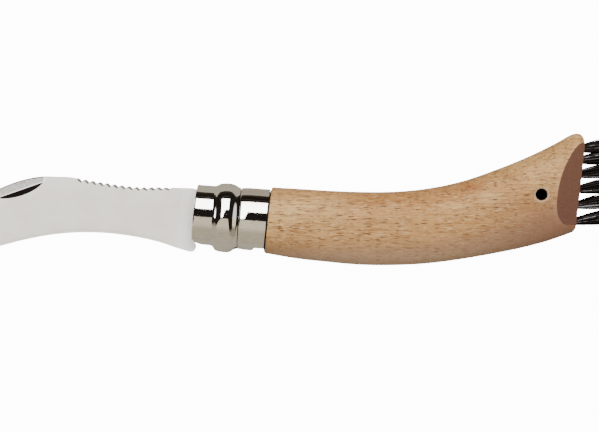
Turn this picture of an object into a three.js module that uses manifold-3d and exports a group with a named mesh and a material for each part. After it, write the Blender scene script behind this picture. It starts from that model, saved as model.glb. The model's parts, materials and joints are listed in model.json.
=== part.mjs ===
// A folding mushroom knife with a curved, serrated-back blade and a bristle brush in its handle.
// It lies on its side, opened and unlocked. Units are millimetres.
// +X runs along the collar from the blade to the brush, +Y points to the blade's back, +Z is up.
// While it is modelled, x = 0 is the blade's pivot and y = z = 0 is the axis of the collar.
import * as THREE from 'three';
import { mergeGeometries, mergeVertices } from 'three/addons/utils/BufferGeometryUtils.js';
import Module from 'manifold-3d';

const wasm = await Module();
wasm.setup();

// Fits
const clearance = 0.3;
const slotGap = 0.8;
const overrun = 3;

// Blade
const bladeReach = 88.3;
const bladeDepth = 20;
const bladeThickness = 1.7;
const pivotDrop = 2;
const pivotRadius = 1.5;
const tangRadius = 5;
const foldAngle = THREE.MathUtils.degToRad(177);
const grindHeight = 13;
const grindEdge = 0.4;
const bevelHeight = 0.8;
const bevelEdge = 0.1;
const grindStart = 12.4;
const grindRunout = 2.2;
const notchCount = 13;
const notchStart = 17.6;
const notchPitch = 2.27;
const notchDepth = 0.6;
const nickDepth = 0.45;
const nickWidth = 1.35;
const nickLength = 13.4;
const nickSetback = 57.5;
const nickDrop = 1.9;

// Collar: a fixed sleeve with a wider rear band, and a lock ring that turns on the sleeve
const sheetThickness = 0.8;
const sleeveRadius = 8.55;
const sleeveThickness = 0.7;
const sleeveFront = 9;
const bandRadius = 9.85;
const bandRear = 12.35;
const sleeveSlot = 5.8;
const bandMouth = 10;
const bandMouthLength = 2.8;
const notchLength = 2.4;
const beadRise = 1.1;
const ringFront = 10.07;
const ringRear = 3.65;
const ringTrim = 1.4;
const ringRamp = 2.4;
const ringGap = 2.6;
const ringMouth = 8.2;
const ringFlare = 12.8;
const ringRadius = sleeveRadius + clearance + sheetThickness;
const ringBeadRadius = ringRadius + beadRise;
const bandFront = ringRear + clearance;

// Handle
const shoulderGap = 0.45;
const shoulderStep = 0.45;
const gripStart = bandRear + shoulderGap;
const gripRadius = bandRadius + shoulderStep;
const gripLength = 95.2;
const gripThickness = 2 * ringBeadRadius;
const gripEndThickness = 18.9;
const gripTopRise = 26.2;
const gripBellyRise = 14.05;
const gripSwell = 9;
const gripTaper = 22;
const backRound = 4.3;
const bellyRound = 1;
const endTilt = THREE.MathUtils.degToRad(2);
const faceWidth = 10;
const facetAngle = THREE.MathUtils.degToRad(33);
const neckSplit = 3.5;
const neckFront = sleeveFront - clearance;
const slotWidth = 2.3;
const lanyardDiameter = 3.5;
const lanyardSetback = 12.25;
const lanyardHeight = 14.4;
const lanyardRim = 0.45;

// Brush
const tuftDiameter = 2.3;
const tuftColumnPitch = 3.6;
const tuftTopMargin = 6.75;
const tuftBottomMargin = 3.35;
const tuftColumns = 2;
const tuftDepth = 3.4;
const strandCount = 28;
const strandRadius = 0.13;
const strandSides = 3;
const strandLength = 18;
const strandLift = THREE.MathUtils.degToRad(8);
const strandFlare = 0.7;
const backingThickness = 1.3;
const stapleHeight = 1.6;
const stapleWire = 0.45;

// Places along the handle, as shares of its length, of the rise of its back and of its belly
const gripOutlineShares = [
  [0, 0.01, 0.018],
  [0.1, 0.016, -0.045],
  [0.2, 0.021, -0.069],
  [0.305, 0.036, -0.078],
  [0.41, 0.069, -0.036],
  [0.515, 0.137, 0.049],
  [0.62, 0.248, 0.188],
  [0.722, 0.405, 0.359],
  [0.826, 0.592, 0.553],
  [0.92, 0.8, 0.766],
  [1, 1, 1],
];

// Points of the blade, as shares of its reach from the pivot and of its depth
const backShares = [
  [-0.127, 0.421],
  [-0.172, 0.412],
  [-0.242, 0.397],
  [-0.313, 0.376],
  [-0.383, 0.385],
  [-0.454, 0.409],
  [-0.525, 0.438],
  [-0.561, 0.449],
  [-0.596, 0.443],
  [-0.665, 0.422],
  [-0.735, 0.332],
  [-0.802, 0.192],
  [-0.865, 0.0],
  [-0.921, -0.26],
  [-0.966, -0.58],
  [-1, -1.015],
];
const edgeShares = [
  [-1, -1.015],
  [-0.95, -0.932],
  [-0.88, -0.835],
  [-0.787, -0.7],
  [-0.718, -0.595],
  [-0.65, -0.507],
  [-0.58, -0.439],
  [-0.511, -0.395],
  [-0.44, -0.375],
  [-0.37, -0.379],
  [-0.3, -0.404],
  [-0.228, -0.453],
  [-0.157, -0.531],
];
const heelShares = [
  [-0.122, -0.562],
  [-0.108, -0.556],
  [-0.1, -0.5],
  [-0.0985, -0.465],
  [-0.104, -0.425],
  [-0.108, -0.39],
];

// Heights of the tuft rows below the top one, as shares of the span between the outer rows
const tuftRowShares = [0, 0.162, 0.352, 0.56, 0.777, 1];

const gripEnd = gripStart + gripLength;
const pivotRow = -pivotDrop;
const tuftTopRow = gripRadius + gripTopRise - tuftTopMargin;
const tuftRowSpan = tuftTopRow - (gripBellyRise - gripRadius + tuftBottomMargin);

function finish(colour, roughness, metalness) {
  return new THREE.MeshStandardMaterial({ color: colour, roughness, metalness });
}

const steelFinish = () => finish(0xb9b9b6, 0.16, 1);
const bladeFinish = () => finish(0xcfcfc8, 0.38, 0.85);
const woodFinish = () => finish(0xc29c73, 0.62, 0);
const bristleFinish = () => finish(0x17120f, 0.5, 0);

// Turn the faces of a closed mesh outward and drop triangles with no area.
function outward(positions, triangles) {
  let volume = 0;
  const corner = (index) => new THREE.Vector3().fromArray(positions, 3 * index);
  const kept = [];
  for (let t = 0; t < triangles.length; t += 3) {
    const [a, b, c] = triangles.slice(t, t + 3);
    if (a === b || b === c || c === a) continue;
    volume += corner(a).dot(corner(b).cross(corner(c)));
    kept.push([a, b, c]);
  }
  return kept.flatMap(([a, b, c]) => (volume < 0 ? [a, c, b] : [a, b, c]));
}

// A solid that can be joined and cut, from any closed geometry.
function solidOf(geometry) {
  const bare = geometry.clone();
  bare.deleteAttribute('normal');
  bare.deleteAttribute('uv');
  const merged = mergeVertices(bare);
  const positions = merged.attributes.position.array;
  return new wasm.Manifold(new wasm.Mesh({
    numProp: 3,
    vertProperties: Float32Array.from(positions),
    triVerts: Uint32Array.from(outward(positions, Array.from(merged.index.array))),
  }));
}

function geometryOf(solid) {
  const mesh = solid.getMesh();
  const geometry = new THREE.BufferGeometry();
  geometry.setAttribute('position', new THREE.BufferAttribute(mesh.vertProperties, 3));
  geometry.setIndex(new THREE.BufferAttribute(mesh.triVerts, 1));
  geometry.computeVertexNormals();
  return geometry;
}

// A closed skin over rings of points, each ring having the same number of points.
// Each four-sided patch is split along its shorter diagonal.
function loft(rings) {
  const count = rings[0].length;
  const points = rings.flat();
  const triangles = [];
  for (let r = 0; r < rings.length - 1; r++) {
    for (let i = 0; i < count; i++) {
      const a = r * count + i;
      const b = r * count + (i + 1) % count;
      const [c, d] = [a + count, b + count];
      const crossed = points[a].distanceTo(points[d]) < points[b].distanceTo(points[c]);
      triangles.push(...(crossed ? [a, b, d, a, d, c] : [a, b, c, b, d, c]));
    }
  }
  for (const r of [0, rings.length - 1]) {
    if (count === 3) {
      const cap = [r * count, r * count + 1, r * count + 2];
      triangles.push(...(r === 0 ? cap.reverse() : cap));
      continue;
    }
    const middle = new THREE.Vector3();
    rings[r].forEach((point) => middle.addScaledVector(point, 1 / count));
    points.push(middle);
    for (let i = 0; i < count; i++) {
      const pair = [r * count + i, r * count + (i + 1) % count];
      if (r === 0) pair.reverse();
      triangles.push(...pair, points.length - 1);
    }
  }
  const geometry = new THREE.BufferGeometry().setFromPoints(points);
  geometry.setIndex(triangles);
  return geometry;
}

// A plate of one outline in the XY plane, between two heights.
function plate(outline, low, high) {
  const shape = new THREE.Shape(outline.map(([x, y]) => new THREE.Vector2(x, y)));
  const geometry = new THREE.ExtrudeGeometry(shape, { depth: high - low, bevelEnabled: false });
  return solidOf(geometry.translate(0, 0, low));
}

// A plate of one outline of x and z, between two places along Y.
function standingPlate(outline, low, high) {
  const shape = new THREE.Shape(outline.map(([x, z]) => new THREE.Vector2(x, -z)));
  const geometry = new THREE.ExtrudeGeometry(shape, { depth: high - low, bevelEnabled: false });
  return solidOf(geometry.rotateX(-Math.PI / 2).translate(0, low, 0));
}

// A turned piece on the collar's axis, from a closed profile of x and radius.
function turned(profile, sides) {
  const points = profile.map(([x, radius]) => new THREE.Vector2(radius, -x));
  const geometry = new THREE.LatheGeometry([...points, points[0]], sides);
  return solidOf(geometry.rotateZ(Math.PI / 2));
}

// A pin or a bore parallel to Z, with a radius for each end.
function upright(x, y, low, high, lowRadius, highRadius, sides) {
  const geometry = new THREE.CylinderGeometry(highRadius, lowRadius, high - low, sides);
  geometry.rotateX(Math.PI / 2).translate(x, y, (low + high) / 2);
  return solidOf(geometry);
}

function subtractAll(solid, cutters) {
  return cutters.reduce((rest, cutter) => rest.subtract(cutter), solid);
}

// A smooth row of points through a few given ones.
function smooth(points, steps) {
  const curve = new THREE.SplineCurve(points.map(([x, y]) => new THREE.Vector2(x, y)));
  return curve.getPoints(steps).map((point) => [point.x, point.y]);
}

const bladePoint = ([along, up]) => [along * bladeReach, up * bladeDepth];

// Where a point of the open blade lies once the blade is folded into the handle.
function folded([x, y]) {
  const arm = new THREE.Vector2(x, y - pivotRow).rotateAround(new THREE.Vector2(), foldAngle);
  return [arm.x, arm.y + pivotRow];
}

const edgeLine = smooth([...edgeShares, heelShares[0]].map(bladePoint), 48);
const backLine = smooth(backShares.map(bladePoint), 60);

// The height of a line of points at one place along X.
function heightAt(line, x) {
  const rising = line[0][0] < line[line.length - 1][0] ? line : [...line].reverse();
  const next = Math.max(1, rising.findIndex((point) => point[0] >= x));
  const index = rising[next][0] >= x ? next : rising.length - 1;
  const [before, after] = [rising[index - 1], rising[index]];
  const share = (x - before[0]) / (after[0] - before[0]);
  return before[1] + share * (after[1] - before[1]);
}

// The back of the blade: plain, then a row of slanted scallops, then plain to the tip.
function serratedBack() {
  const lastNotch = notchStart + notchCount * notchPitch;
  const points = backLine.filter(([x]) => x > -notchStart);
  const floorShares = [[0.1, 0.05], [0.38, 0.75], [0.54, 1], [0.72, 0.45], [0.88, 0.03]];
  for (let i = 0; i < notchCount; i++) {
    const start = -notchStart - i * notchPitch;
    points.push([start, heightAt(backLine, start)]);
    for (const [along, down] of floorShares) {
      const x = start - along * notchPitch;
      points.push([x, heightAt(backLine, x) - down * notchDepth]);
    }
  }
  return [...points, ...backLine.filter(([x]) => x < -lastNotch)];
}

// The round tang that turns on the pivot, up to where the blade leaves the collar.
function tangOutline() {
  const disc = [];
  const steps = 16;
  const from = THREE.MathUtils.degToRad(222);
  const to = THREE.MathUtils.degToRad(460);
  for (let i = 0; i <= steps; i++) {
    const angle = from + (to - from) * i / steps;
    disc.push([tangRadius * Math.cos(angle), pivotRow + tangRadius * Math.sin(angle)]);
  }
  const shoulder = bladePoint(backShares[0]);
  const rise = [
    [-0.78 * tangRadius, pivotRow + 1.22 * tangRadius],
    [-1.25 * tangRadius, pivotRow + 1.75 * tangRadius],
    [shoulder[0] + 0.34 * tangRadius, shoulder[1] - 0.07 * tangRadius],
  ];
  return [...disc, ...rise];
}

// Stock that the grinding of one face takes away along the whole edge.
function grindCutter(side, height, edge, start) {
  const rings = [];
  const steps = 36;
  const half = bladeThickness / 2;
  const run = bladeReach + overrun - start;
  for (let i = 0; i <= steps; i++) {
    const x = -start - run * i / steps;
    const base = heightAt(edgeLine, x);
    const lift = i === 0 ? half : 0;
    const floor = edge / 2 - (half - edge / 2) * overrun / height;
    rings.push([
      new THREE.Vector3(x, base + height, side * (half + lift)),
      new THREE.Vector3(x - grindRunout, base - overrun, side * (floor + lift)),
      new THREE.Vector3(x - grindRunout, base - overrun, side * (half + overrun)),
      new THREE.Vector3(x, base + height, side * (half + overrun)),
    ]);
  }
  return solidOf(loft(rings));
}

// The thumbnail groove: straight along its top, round along its lower side, and deepest at the top.
function nickCutter() {
  const steps = 12;
  const half = bladeThickness / 2;
  const slopeAt = (x) => heightAt(backLine, x) - nickDrop;
  const ends = [-nickSetback, -nickSetback - nickLength];
  const heights = [slopeAt(ends[0]), slopeAt(ends[0]) - 0.434 * nickLength];
  const groove = (width, z) => {
    const ring = [];
    for (let i = 0; i <= steps; i++) {
      const share = i / steps;
      const x = THREE.MathUtils.lerp(ends[0], ends[1], share);
      const y = THREE.MathUtils.lerp(heights[0], heights[1], share);
      const sag = 4 * share * (1 - share) * (1.25 - 0.5 * share);
      ring.push(new THREE.Vector3(x, y - width * sag, z));
    }
    const top = nickWidth * 0.04;
    ring.push(new THREE.Vector3(ends[1], heights[1] + top, z));
    ring.push(new THREE.Vector3(ends[0], heights[0] + top, z));
    return ring;
  };
  const above = nickWidth * (1 + overrun / nickDepth);
  return solidOf(loft([
    groove(nickWidth * 0.06, half - nickDepth),
    groove(nickWidth, half),
    groove(above, half + overrun),
  ]));
}

function makeBlade() {
  const half = bladeThickness / 2;
  const heel = smooth(heelShares.map(bladePoint), 14);
  const tangFoot = [[-1.25 * tangRadius, pivotRow - 0.86 * tangRadius]];
  const outline = [
    ...tangOutline(),
    ...serratedBack(),
    ...edgeLine.slice(1, -1),
    ...heel,
    ...tangFoot,
  ];
  const bore = pivotRadius + clearance;
  const cutters = [upright(0, pivotRow, -overrun, overrun, bore, bore, 24), nickCutter()];
  for (const side of [-1, 1]) {
    cutters.push(grindCutter(side, grindHeight, grindEdge, grindStart));
    cutters.push(grindCutter(side, bevelHeight, bevelEdge, grindStart));
  }
  return subtractAll(plate(outline, -half, half), cutters);
}

function makePivot() {
  const reach = sleeveRadius + clearance;
  const profile = [
    [0, -reach],
    [0.6 * pivotRadius, -reach],
    [pivotRadius, 0.4 * pivotRadius - reach],
    [pivotRadius, reach - 0.4 * pivotRadius],
    [0.6 * pivotRadius, reach],
    [0, reach],
  ];
  const geometry = new THREE.LatheGeometry(profile.map(([r, z]) => new THREE.Vector2(r, z)), 20);
  return solidOf(geometry.rotateX(Math.PI / 2).translate(0, pivotRow, 0));
}

// The sleeve under the lock ring and the wider band behind it are one drawn piece.
function makeFixedCollar() {
  const sleeveBore = sleeveRadius - sleeveThickness;
  const bandBore = bandRadius - sheetThickness;
  const body = turned([
    [-sleeveFront, sleeveBore],
    [bandFront + sheetThickness, sleeveBore],
    [bandFront + sheetThickness, bandBore],
    [bandRear, bandBore],
    [bandRear, bandRadius],
    [bandFront + 0.4 * sheetThickness, bandRadius],
    [bandFront, bandRadius - 0.4 * sheetThickness],
    [bandFront, sleeveRadius],
    [-sleeveFront, sleeveRadius],
  ], 40);
  const below = -bandRadius - overrun;
  const slot = sleeveSlot / 2;
  const mouth = bandMouth / 2;
  const mouthStart = bandRear - bandMouthLength;
  const bladeSlot = standingPlate([
    [-sleeveFront - overrun, -slot],
    [mouthStart - 0.3 * bandMouthLength, -slot],
    [mouthStart, -mouth],
    [bandRear + overrun, -mouth],
    [bandRear + overrun, mouth],
    [mouthStart, mouth],
    [mouthStart - 0.3 * bandMouthLength, slot],
    [-sleeveFront - overrun, slot],
  ], below, 0);
  const topNotch = standingPlate([
    [-sleeveFront - overrun, -slotWidth / 2],
    [notchLength - sleeveFront, -slotWidth / 2],
    [notchLength - sleeveFront, slotWidth / 2],
    [-sleeveFront - overrun, slotWidth / 2],
  ], 0, bandRadius);
  const bore = pivotRadius + clearance;
  const pivotBore = upright(0, pivotRow, -bandRadius, bandRadius, bore, bore, 20);
  return subtractAll(body, [bladeSlot, topNotch, pivotBore]);
}

// Stock ahead of the lock ring's sloping front edge, which works as a wedge when the ring turns.
// The slope runs from one side of the gap round to the other, and stays level from there.
function rampCutter() {
  const steps = 40;
  const rings = [];
  const open = Math.asin(ringFlare / 2 / ringRadius);
  for (let i = 0; i <= steps; i++) {
    const angle = THREE.MathUtils.lerp(open, 2 * Math.PI, i / steps);
    const share = Math.min(1, (angle - open) / (2 * Math.PI - 2 * open));
    const edge = ringRamp * Math.pow(share, 1.7) - ringFront;
    const at = (x, radius) => {
      return new THREE.Vector3(x, -radius * Math.cos(angle), radius * Math.sin(angle));
    };
    const inner = ringRadius - 2 * sheetThickness;
    const outer = ringRadius + sheetThickness;
    const ahead = -ringFront - overrun;
    rings.push([at(ahead, inner), at(edge, inner), at(edge, outer), at(ahead, outer)]);
  }
  return solidOf(loft(rings));
}

function makeLockRing() {
  const bore = ringRadius - sheetThickness;
  const groove = ringBeadRadius - sheetThickness;
  const body = turned([
    [-ringFront - overrun / 2, ringRadius],
    [-0.355 * ringFront, ringRadius],
    [-0.315 * ringFront, ringRadius + 0.26 * beadRise],
    [-0.27 * ringFront, ringRadius + 0.56 * beadRise],
    [-0.2 * ringFront, ringRadius + 0.82 * beadRise],
    [-0.11 * ringFront, ringRadius + 0.96 * beadRise],
    [0, ringBeadRadius],
    [0.2 * ringRear, ringBeadRadius],
    [0.4 * ringRear, ringRadius + 0.88 * beadRise],
    [0.6 * ringRear, ringRadius + 0.64 * beadRise],
    [0.8 * ringRear, ringRadius + 0.3 * beadRise],
    [0.94 * ringRear, ringRadius + 0.08 * beadRise],
    [ringRear, ringRadius],
    [ringRear, bore],
    [0.76 * ringRear, bore],
    [0.6 * ringRear, groove - 0.25 * beadRise],
    [0.42 * ringRear, groove],
    [-0.19 * ringFront, groove],
    [-0.25 * ringFront, groove - 0.25 * beadRise],
    [-0.33 * ringFront, bore],
    [-ringFront - overrun / 2, bore],
  ], 48);
  const gap = ringGap / 2;
  const mouth = ringMouth / 2;
  const flare = ringFlare / 2;
  const half = [
    [-ringFront - overrun, flare],
    [-ringFront, flare],
    [-0.86 * ringFront, mouth + 0.3 * (flare - mouth)],
    [-0.7 * ringFront, mouth],
    [-0.4 * ringFront, 0.97 * mouth],
    [-0.32 * ringFront, gap + 0.4 * (mouth - gap)],
    [-0.24 * ringFront, gap],
    [ringRear - ringTrim - clearance, gap],
    [ringRear - ringTrim, 2 * gap],
    [ringRear + overrun, 2 * gap],
  ];
  const otherHalf = half.map(([x, z]) => [x, -z]).reverse();
  const opening = standingPlate([...half, ...otherHalf], -ringBeadRadius - overrun, 0);
  return subtractAll(body, [rampCutter(), opening]);
}

const gripCurve = (column, start, rise) => new THREE.SplineCurve(gripOutlineShares.map((row) => {
  return new THREE.Vector2(gripStart + gripLength * row[0], start + rise * row[column]);
}));
const gripTop = gripCurve(1, gripRadius, gripTopRise);
const gripBelly = gripCurve(2, -gripRadius, gripBellyRise);

// Half the handle's thickness: round at the collar, then one flat width, then thinner at the brush.
function gripHalf(x) {
  const swell = THREE.MathUtils.smoothstep(x, gripStart, gripStart + gripSwell);
  const taper = THREE.MathUtils.smoothstep(x, gripEnd - gripTaper, gripEnd);
  const swollen = THREE.MathUtils.lerp(gripRadius, gripThickness / 2, swell);
  return THREE.MathUtils.lerp(swollen, gripEndThickness / 2, taper);
}

// How far a rounded end of the handle has drawn in at one place along X.
function drawnIn(x, round) {
  const into = Math.max(0, x - gripEnd + round);
  return round - Math.sqrt(Math.max(0, round * round - into * into));
}

// One section of the handle. Its widest line drops toward the belly as the handle bends.
function gripSection(share) {
  const sides = 32;
  const back = gripTop.getPoint(share);
  const x = back.x;
  const top = back.y - drawnIn(x, backRound);
  const belly = gripBelly.getPoint(share).y + drawnIn(x, bellyRound);
  const half = gripHalf(x);
  const middle = (top + belly) / 2;
  const tilt = Math.tan(endTilt) * THREE.MathUtils.smoothstep(x, gripEnd - gripTaper, gripEnd);
  const bend = THREE.MathUtils.smoothstep(share, 0.35, 1);
  const power = 2 / (2 + 0.45 * THREE.MathUtils.smoothstep(share, 0, 0.15));
  const widest = Math.pow(Math.cos(Math.PI / sides), power);
  const ring = [];
  for (let i = 0; i < sides; i++) {
    const angle = 2 * Math.PI * (i + 0.5) / sides;
    const across = Math.sign(Math.cos(angle)) * Math.pow(Math.abs(Math.cos(angle)), power);
    const up = Math.sign(Math.sin(angle)) * Math.pow(Math.abs(Math.sin(angle)), power);
    const drop = 0.08 * bend * across * across;
    const y = middle + (top - belly) / 2 * (up - drop);
    ring.push(new THREE.Vector3(x + tilt * (y - middle), y, half * across / widest));
  }
  return ring;
}

// The bent grip from the shoulder behind the collar to the brush face, with no cuts in it.
function gripBlank() {
  const steps = 25;
  const roundSteps = 7;
  const rings = [];
  const straight = (gripLength - backRound) / gripLength;
  for (let i = 0; i <= steps; i++) rings.push(gripSection(straight * i / steps));
  for (let i = 1; i <= roundSteps; i++) {
    rings.push(gripSection(straight + (1 - straight) * Math.sin(Math.PI / 2 * i / roundSteps)));
  }
  return solidOf(loft(rings));
}

// The slanting cuts on both sides of the brush face.
function facetCutters() {
  const half = gripThickness / 2 + overrun;
  const end = gripEnd + overrun;
  const inner = faceWidth / 2 - overrun * Math.tan(facetAngle);
  const length = (half - inner) / Math.tan(facetAngle);
  const low = -gripRadius - overrun;
  const high = gripTopRise + gripRadius + overrun;
  return [-1, 1].map((side) => standingPlate([
    [end, side * inner],
    [end, side * half],
    [end - length, side * half],
  ], low, high));
}

// The saw cut that takes the folded blade. Its floor follows the folded edge.
function slotCutter() {
  const heel = folded(bladePoint(heelShares[0]));
  const tip = folded(bladePoint(edgeShares[0]));
  const end = Math.hypot(tip[0], tip[1] - pivotRow) + slotGap;
  const tangFloor = pivotRow + 1.3 * tangRadius + slotGap;
  const low = -gripRadius - gripBellyRise;
  const floor = smooth(edgeShares.map(bladePoint), 24).map(folded).reverse();
  const outline = [
    [-neckFront - overrun, low],
    [-neckFront - overrun, gripRadius],
    [-neckSplit, gripRadius],
    [-neckSplit, tangFloor],
    [heel[0] - slotGap - 1.2 * pivotRadius, tangFloor],
    [heel[0] - slotGap, heel[1] + slotGap],
    ...floor.map(([x, y]) => [x, y + slotGap]),
    [end, tip[1] + slotGap],
    [end, low],
  ];
  return plate(outline, -slotWidth / 2, slotWidth / 2);
}

function lanyardCutters() {
  const x = gripEnd - lanyardSetback;
  const radius = lanyardDiameter / 2;
  const wide = radius + lanyardRim;
  const top = gripHalf(x);
  return [
    upright(x, lanyardHeight, -top - overrun, top + overrun, radius, radius, 24),
    upright(x, lanyardHeight, top - 2 * lanyardRim, top + lanyardRim, radius, wide + lanyardRim, 24),
    upright(x, lanyardHeight, -top - lanyardRim, 2 * lanyardRim - top, wide + lanyardRim, radius, 24),
  ];
}

// The places of the tufts on the brush face, row by row.
const tuftPlaces = tuftRowShares.flatMap((share) => {
  const places = [];
  for (let column = 0; column < tuftColumns; column++) {
    const z = (column - (tuftColumns - 1) / 2) * tuftColumnPitch;
    places.push({ y: tuftTopRow - share * tuftRowSpan, z });
  }
  return places;
});

const backingStart = gripEnd - backingThickness;
const holeRadius = tuftDiameter / 2 + clearance;
const holeStart = backingStart - tuftDepth - stapleHeight - 2 * clearance;

// A round bar that leans with the bristles, for a tuft's root or its hole.
function bar(place, from, to, radius) {
  const geometry = new THREE.CylinderGeometry(radius, radius, to - from, 12);
  geometry.rotateZ(Math.PI / 2).translate((from + to) / 2 - gripEnd, 0, 0);
  return geometry.rotateZ(strandLift).translate(gripEnd, place.y, place.z);
}

// The part of the grip behind one plane across it, or in front of it.
function slab(from, to) {
  const low = -gripRadius - overrun;
  const high = gripRadius + gripTopRise + overrun;
  const outline = [[from, low], [to, low], [to, high], [from, high]];
  return plate(outline, -gripThickness, gripThickness);
}

function makeHandle(blank) {
  const neck = sleeveRadius - sleeveThickness - clearance;
  const root = bandRadius - sheetThickness - clearance;
  const shoulder = bandFront + sheetThickness + clearance;
  const spigot = turned([
    [-neckFront, 0],
    [-neckFront, neck],
    [shoulder, neck],
    [shoulder, root],
    [gripStart + clearance, root],
    [gripStart + clearance, 0],
  ], 32);
  const bore = pivotRadius + clearance;
  const cutters = [
    slotCutter(),
    upright(0, pivotRow, -bandRadius, bandRadius, bore, bore, 20),
    ...lanyardCutters(),
    ...tuftPlaces.map((place) => solidOf(bar(place, holeStart, gripEnd, holeRadius))),
  ];
  const body = blank.subtract(slab(backingStart, gripEnd + overrun));
  return subtractAll(body.add(spigot), cutters);
}

// One bristle from inside the backing to its tip, which lies further from the tuft's axis.
function strand(place, index) {
  const turn = index * Math.PI * (3 - Math.sqrt(5));
  const reach = Math.sqrt((index + 0.5) / strandCount) * (tuftDiameter / 2 - strandRadius);
  const offset = new THREE.Vector2(Math.cos(turn), Math.sin(turn)).multiplyScalar(reach);
  const fan = place.z * 0.3;
  const length = strandLength * (1 - 0.06 * Math.abs(Math.sin(7 * index)));
  const ringAt = (share, radius) => {
    const spread = 1 + strandFlare * share * (0.6 + 0.4 * share);
    const x = gripEnd + Math.max(share, 0) * length;
    const y = place.y + share * length * Math.tan(strandLift) + offset.x * spread;
    const z = place.z + share * fan + offset.y * spread;
    const ring = [];
    for (let side = 0; side < strandSides; side++) {
      const angle = 2 * Math.PI * side / strandSides;
      const out = new THREE.Vector2(Math.cos(angle), Math.sin(angle)).multiplyScalar(radius);
      ring.push(new THREE.Vector3(x, y + out.x, z + out.y));
    }
    return ring;
  };
  const root = ringAt(0, strandRadius).map((point) => point.setX(gripEnd - backingThickness / 2));
  return loft([root, ringAt(1, 0.8 * strandRadius)]);
}

// Some rows of bristles, their roots and the slice of the brush face that holds them.
function makeBristles(blank, places, low, high) {
  const face = plate([
    [backingStart, low],
    [gripEnd + overrun, low],
    [gripEnd + overrun, high],
    [backingStart, high],
  ], -gripThickness, gripThickness);
  let body = blank.intersect(face);
  for (const place of places) {
    const strands = [];
    for (let index = 0; index < strandCount; index++) strands.push(strand(place, index));
    const root = bar(place, backingStart - tuftDepth, backingStart + clearance, tuftDiameter / 2);
    body = body.add(solidOf(root)).add(solidOf(mergeGeometries(strands)));
  }
  return body;
}

// The bent wire that holds a folded tuft at the bottom of its hole.
function makeStaple(place) {
  const half = tuftDiameter / 2 - clearance;
  const start = holeStart + clearance;
  const end = start + stapleHeight;
  const row = place.y + (start - gripEnd) * Math.tan(strandLift);
  const outline = [
    [start, row - half],
    [end, row - half],
    [end, row + half],
    [start, row + half],
    [start, row + half - stapleWire],
    [end - stapleWire, row + half - stapleWire],
    [end - stapleWire, row - half + stapleWire],
    [start, row - half + stapleWire],
  ];
  return plate(outline, place.z - stapleWire / 2, place.z + stapleWire / 2);
}

const knife = new THREE.Group();

function addPiece(name, solid, material) {
  const mesh = new THREE.Mesh(geometryOf(solid), material);
  mesh.name = name;
  knife.add(mesh);
}

const blank = subtractAll(gripBlank(), facetCutters());

addPiece('handle', makeHandle(blank), woodFinish());
addPiece('fixed_collar', makeFixedCollar(), steelFinish());
addPiece('lock_ring', makeLockRing(), steelFinish());
addPiece('blade', makeBlade(), bladeFinish());
addPiece('pivot_rivet', makePivot(), steelFinish());

// The brush face is held in three bands of two rows each.
const bandCount = 3;
const bandRows = tuftRowShares.length / bandCount;
const rowHeight = (row) => tuftTopRow - tuftRowShares[row] * tuftRowSpan;
for (let band = 0; band < bandCount; band++) {
  const first = band * bandRows;
  const last = first + bandRows - 1;
  const places = tuftPlaces.slice(first * tuftColumns, (last + 1) * tuftColumns);
  let top = gripRadius + gripTopRise + overrun;
  let bottom = -gripRadius;
  if (band > 0) top = (rowHeight(first - 1) + rowHeight(first)) / 2;
  if (band < bandCount - 1) bottom = (rowHeight(last) + rowHeight(last + 1)) / 2;
  const bristles = makeBristles(blank, places, bottom, top);
  addPiece(`brush_bristles_${band + 1}`, bristles, bristleFinish());
}

tuftPlaces.forEach((place, index) => {
  const number = String(index + 1).padStart(2, '0');
  addPiece(`tuft_staple_${number}`, makeStaple(place), steelFinish());
});

// Stand the knife's box on the ground, centred on the origin.
const box = new THREE.Box3().setFromObject(knife);
const centre = box.getCenter(new THREE.Vector3());
knife.position.set(-centre.x, -centre.y, -box.min.z);

const part = new THREE.Group();
part.add(knife);

export default part;
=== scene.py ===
import json
import math
import random

import bmesh
import bpy
from mathutils import Matrix, Vector


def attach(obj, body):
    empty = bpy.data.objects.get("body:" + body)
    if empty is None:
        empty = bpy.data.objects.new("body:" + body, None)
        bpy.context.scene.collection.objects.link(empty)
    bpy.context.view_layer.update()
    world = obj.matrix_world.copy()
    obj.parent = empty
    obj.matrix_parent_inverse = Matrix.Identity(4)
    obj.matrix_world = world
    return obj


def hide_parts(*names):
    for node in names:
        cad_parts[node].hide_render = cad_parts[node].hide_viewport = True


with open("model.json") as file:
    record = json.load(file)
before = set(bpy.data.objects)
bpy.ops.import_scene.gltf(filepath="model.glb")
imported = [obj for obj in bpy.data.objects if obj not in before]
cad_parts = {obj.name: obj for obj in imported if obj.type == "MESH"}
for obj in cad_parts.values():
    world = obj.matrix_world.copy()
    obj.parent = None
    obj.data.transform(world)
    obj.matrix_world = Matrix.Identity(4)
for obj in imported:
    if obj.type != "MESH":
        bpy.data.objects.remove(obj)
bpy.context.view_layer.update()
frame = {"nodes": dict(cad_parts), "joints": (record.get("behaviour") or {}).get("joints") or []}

# A folding mushroom knife with a brush in its handle, lying opened on a pale floor.
# Pieces are modelled in millimetres around the collar: x runs from the blade to the brush,
# y points to the blade's back and z is up. The collar's axis is x, and the pivot is at x = 0, below it.
MM = 0.001
JOINTS = {joint["name"]: joint for joint in frame["joints"]}
COLLAR = Vector(JOINTS["ring_turn"]["pos_m"])
PIVOT = (Vector(JOINTS["blade_fold"]["pos_m"]) - COLLAR) / MM
TO_ROOM = Matrix.Translation(COLLAR) @ Matrix.Scale(MM, 4)

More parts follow.
